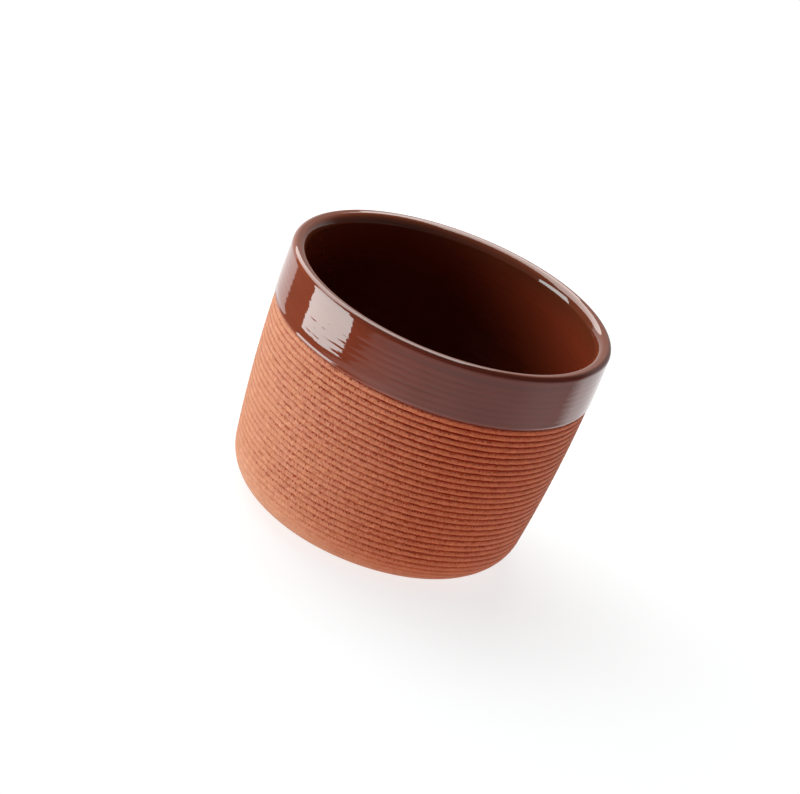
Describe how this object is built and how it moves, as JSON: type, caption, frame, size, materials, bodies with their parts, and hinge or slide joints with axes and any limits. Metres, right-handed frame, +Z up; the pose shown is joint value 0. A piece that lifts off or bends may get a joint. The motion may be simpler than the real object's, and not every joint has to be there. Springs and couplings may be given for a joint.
{
  "type": "mug",
  "caption": "Handleless terracotta mug: a ribbed bare-clay body with a glossy brown glaze lining it and covering its lip and upper band.",
  "frame": {"origin": "centre of the standing ring, on the table", "axes": "+Z up along the mug's axis, from the foot to the lip; +X and +Y are any two directions across it"},
  "size_m": [0.09, 0.09, 0.07],
  "materials": {
    "fired_clay": "matte, unglazed",
    "brown_glaze": "glossy"
  },
  "bodies": {
    "root": {"clay_body": "fired_clay", "glaze_lining": "brown_glaze", "glaze_rim_band": "brown_glaze"}
  },
  "joints": []
}
